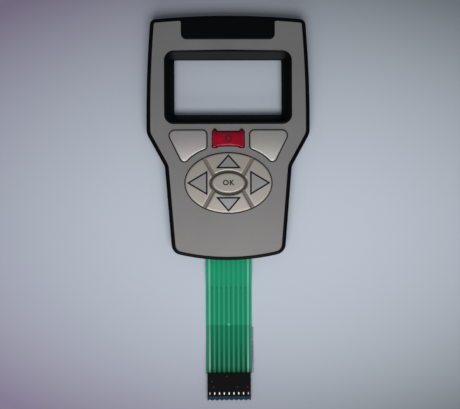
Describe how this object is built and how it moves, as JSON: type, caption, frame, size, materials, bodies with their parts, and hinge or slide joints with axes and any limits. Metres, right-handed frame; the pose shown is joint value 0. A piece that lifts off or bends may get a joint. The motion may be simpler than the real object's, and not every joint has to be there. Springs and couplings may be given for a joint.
{
  "type": "rubber keypad",
  "caption": "Front-panel keypad in a black moulded frame with a display window, silver and red keys over a silicone mat, and a flat green circuit tail that ends in a socket connector.",
  "frame": {"origin": "middle of the panel's outline, on the plane of the frame's rear edge", "axes": "+Z out of the keys, +Y up the panel towards the display, tail along -Y; the panel lies on its back"},
  "size_m": [0.0852, 0.2017, 0.0104],
  "materials": {
    "frame_black": "black moulded plastic, satin",
    "pillar_brass": "turned brass",
    "fascia_silver": "silver-grey satin paint",
    "adhesive": "double-sided film",
    "silicone": "grey silicone rubber, painted silver on the oval platform",
    "key_silver": "silver paint, satin",
    "key_red": "translucent red, glossy",
    "keytop_beige": "warm silver paint, satin",
    "carbon": "conductive carbon rubber",
    "circuit_green": "green coated polyester film",
    "conductor": "printed ink under a green coat",
    "plate_aluminium": "rolled sheet, satin",
    "screw_steel": "zinc plated",
    "clear_film": "clear polyester",
    "connector_black": "black moulded plastic",
    "terminal_tin": "tin plated"
  },
  "bodies": {
    "panel": {"bezel_frame": "frame_black", "case_pillars": "pillar_brass", "fascia": "fascia_silver", "fascia_adhesive": "adhesive", "keypad_mat": "silicone", "membrane_circuit": "circuit_green", "conductor_strips": "conductor", "circuit_adhesive": "adhesive", "backing_plate": "plate_aluminium", "backing_screws": "screw_steel", "tail_stiffener": "clear_film", "connector_housing": "connector_black", "crimp_terminals": "terminal_tin"},
    "soft_left": {"soft_key_left": "key_silver", "pill_soft_left": "carbon"},
    "soft_right": {"soft_key_right": "key_silver", "pill_soft_right": "carbon"},
    "power": {"power_key": "key_red", "pill_power": "carbon"},
    "up": {"key_up": "keytop_beige", "pill_up": "carbon"},
    "down": {"key_down": "keytop_beige", "pill_down": "carbon"},
    "left": {"key_left": "keytop_beige", "pill_left": "carbon"},
    "right": {"key_right": "keytop_beige", "pill_right": "carbon"},
    "function": {"function_key": "keytop_beige", "pill_function": "carbon"}
  },
  "joints": [
    {"name": "soft_left_press", "type": "slide", "parent": "panel", "child": "soft_left", "axis": [0, 0, -1], "range_m": [0, 0.001], "stiffness_N_per_m": 1500, "deforming": ["keypad_mat"]},
    {"name": "soft_right_press", "type": "slide", "parent": "panel", "child": "soft_right", "axis": [0, 0, -1], "range_m": [0, 0.001], "stiffness_N_per_m": 1500, "deforming": ["keypad_mat"]},
    {"name": "power_press", "type": "slide", "parent": "panel", "child": "power", "axis": [0, 0, -1], "range_m": [0, 0.001], "stiffness_N_per_m": 1500, "deforming": ["keypad_mat"]},
    {"name": "up_press", "type": "slide", "parent": "panel", "child": "up", "axis": [0, 0, -1], "range_m": [0, 0.001], "stiffness_N_per_m": 1500, "deforming": ["keypad_mat"]},
    {"name": "down_press", "type": "slide", "parent": "panel", "child": "down", "axis": [0, 0, -1], "range_m": [0, 0.001], "stiffness_N_per_m": 1500, "deforming": ["keypad_mat"]},
    {"name": "left_press", "type": "slide", "parent": "panel", "child": "left", "axis": [0, 0, -1], "range_m": [0, 0.001], "stiffness_N_per_m": 1500, "deforming": ["keypad_mat"]},
    {"name": "right_press", "type": "slide", "parent": "panel", "child": "right", "axis": [0, 0, -1], "range_m": [0, 0.001], "stiffness_N_per_m": 1500, "deforming": ["keypad_mat"]},
    {"name": "function_press", "type": "slide", "parent": "panel", "child": "function", "axis": [0, 0, -1], "range_m": [0, 0.001], "stiffness_N_per_m": 1500, "deforming": ["keypad_mat"]}
  ]
}
